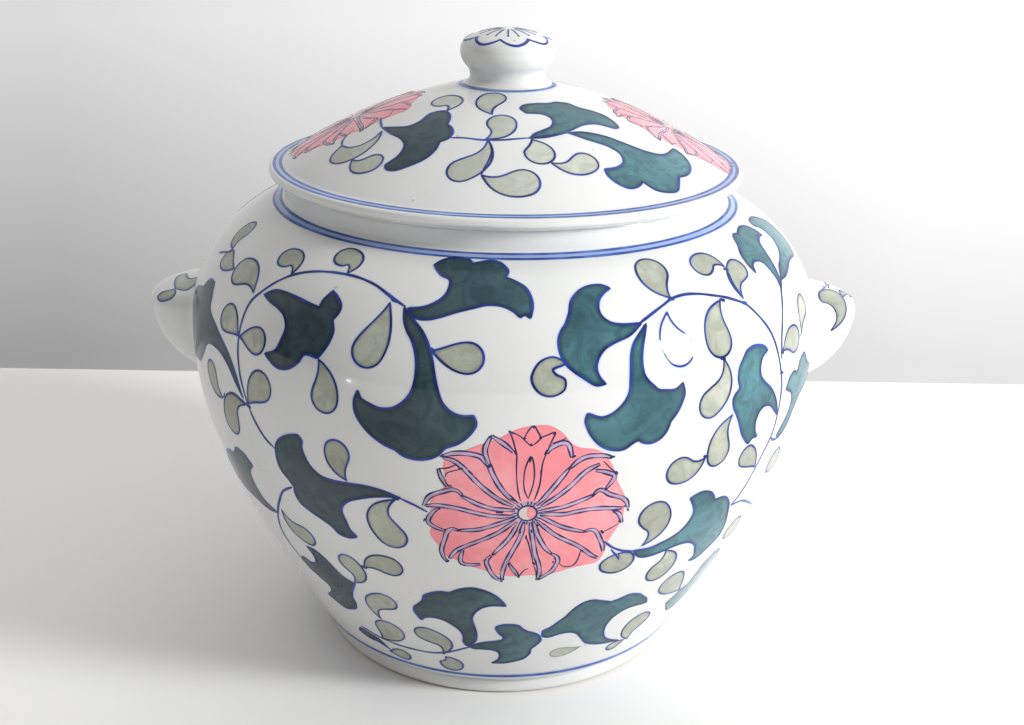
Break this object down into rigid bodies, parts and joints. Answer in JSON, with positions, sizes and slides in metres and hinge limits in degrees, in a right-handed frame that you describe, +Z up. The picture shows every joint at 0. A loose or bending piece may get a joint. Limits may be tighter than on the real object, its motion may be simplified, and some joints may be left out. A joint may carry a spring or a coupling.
{
  "type": "biscuit jar",
  "caption": "Round-bellied porcelain jar on a foot ring, with a corbel-shaped lug on each side and a domed lid with a knob that lifts off.",
  "frame": {"origin": "centre of the foot ring's resting face, on the jar's axis", "axes": "+Z up along the jar's axis; +X through the lugs, with left_lug at -X and right_lug at +X; -Y towards the viewer of the picture"},
  "size_m": [0.2412, 0.209, 0.2093],
  "materials": {
    "porcelain": "white porcelain under a clear gloss glaze",
    "cobalt_enamel": "dark cobalt brush line under gloss",
    "green_enamel": "translucent blue-green enamel wash",
    "sage_enamel": "thin grey-green enamel wash",
    "rose_enamel": "flat rose-pink wash"
  },
  "bodies": {
    "jar": {"jar_body": "porcelain", "left_lug": "porcelain", "right_lug": "porcelain"},
    "cover": {"lid": "porcelain", "lid_flange": "porcelain", "lid_knob": "porcelain"}
  },
  "joints": [
    {"name": "lid_lift", "type": "slide", "parent": "jar", "child": "cover", "axis": [0, 0, 1], "range_m": [0, 0.15]}
  ]
}
